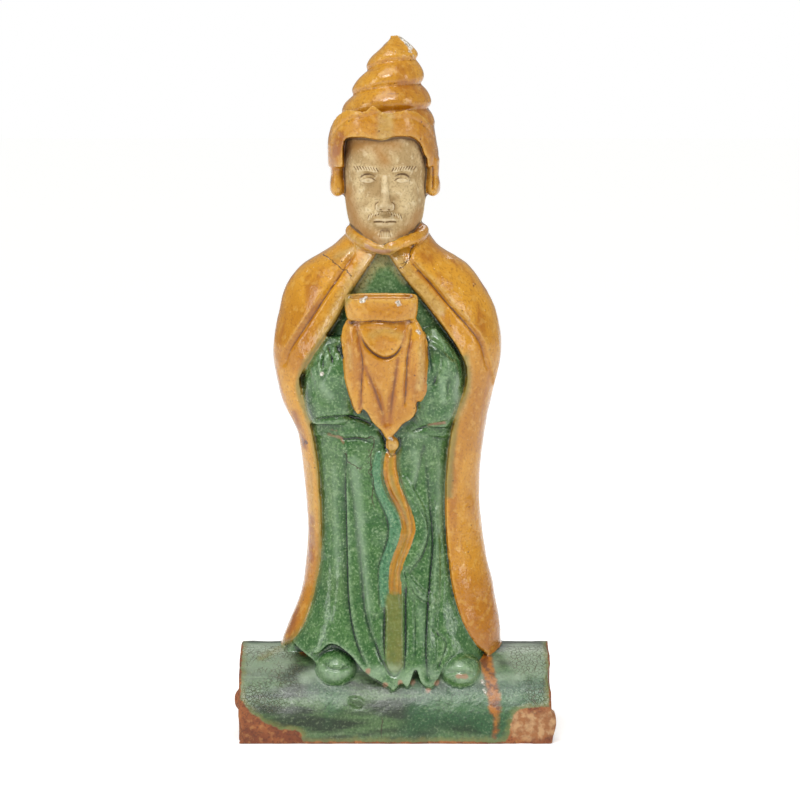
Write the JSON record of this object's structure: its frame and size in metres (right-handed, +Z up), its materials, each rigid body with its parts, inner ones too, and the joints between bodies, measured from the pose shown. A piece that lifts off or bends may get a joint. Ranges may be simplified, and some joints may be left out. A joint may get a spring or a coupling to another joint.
{
  "type": "roof ridge figure",
  "caption": "Glazed ridge tile figure: a robed attendant in a cloak and coiled hat holds a tray, standing on a half-round tile.",
  "frame": {"origin": "on the ground, under the middle of the half-round tile's bounding box", "axes": "+Z up the figure, the figure faces -Y, +X along the ridge to the viewer's right"},
  "size_m": [0.239, 0.128, 0.523],
  "materials": {
    "lead_glaze": "glossy amber and green lead glaze over a buff body, bare clay on the face and at the tile's lower corners"
  },
  "bodies": {
    "root": {"ridge_figure": "lead_glaze"}
  },
  "joints": []
}
